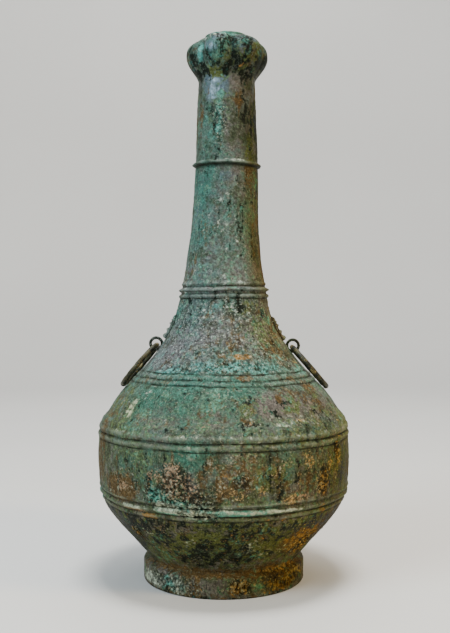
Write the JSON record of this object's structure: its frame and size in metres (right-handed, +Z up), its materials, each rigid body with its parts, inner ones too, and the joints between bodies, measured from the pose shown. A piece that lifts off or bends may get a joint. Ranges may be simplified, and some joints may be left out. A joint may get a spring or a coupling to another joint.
{
  "type": "bronze bottle vase",
  "caption": "Tall-necked bronze bottle vase with a garlic-shaped mouth, round belly, ribbed bands, foot ring and loose ring handles hanging from beast masks.",
  "frame": {"origin": "middle of the standing face of the foot ring", "axes": "+Z up the vase; the front looks along -Y; the masks and ring handles are at -X and +X"},
  "size_m": [0.1942, 0.1944, 0.42],
  "materials": {
    "patinated_bronze": "aged bronze, mottled green, turquoise and brown patina",
    "ring_bronze": "worn olive-brown bronze"
  },
  "bodies": {
    "vase": {"vase_body": "patinated_bronze"},
    "left_ring": {"left_ring_handle": "ring_bronze"},
    "right_ring": {"right_ring_handle": "ring_bronze"}
  },
  "joints": [
    {"name": "left_ring_swing", "type": "hinge", "parent": "vase", "child": "left_ring", "pos_m": [-0.05217, 0, 0.18014], "axis": [0, 1, 0], "range_deg": [0, 158]},
    {"name": "right_ring_swing", "type": "hinge", "parent": "vase", "child": "right_ring", "pos_m": [0.05337, 0, 0.17849], "axis": [0, -1, 0], "range_deg": [0, 158]}
  ]
}
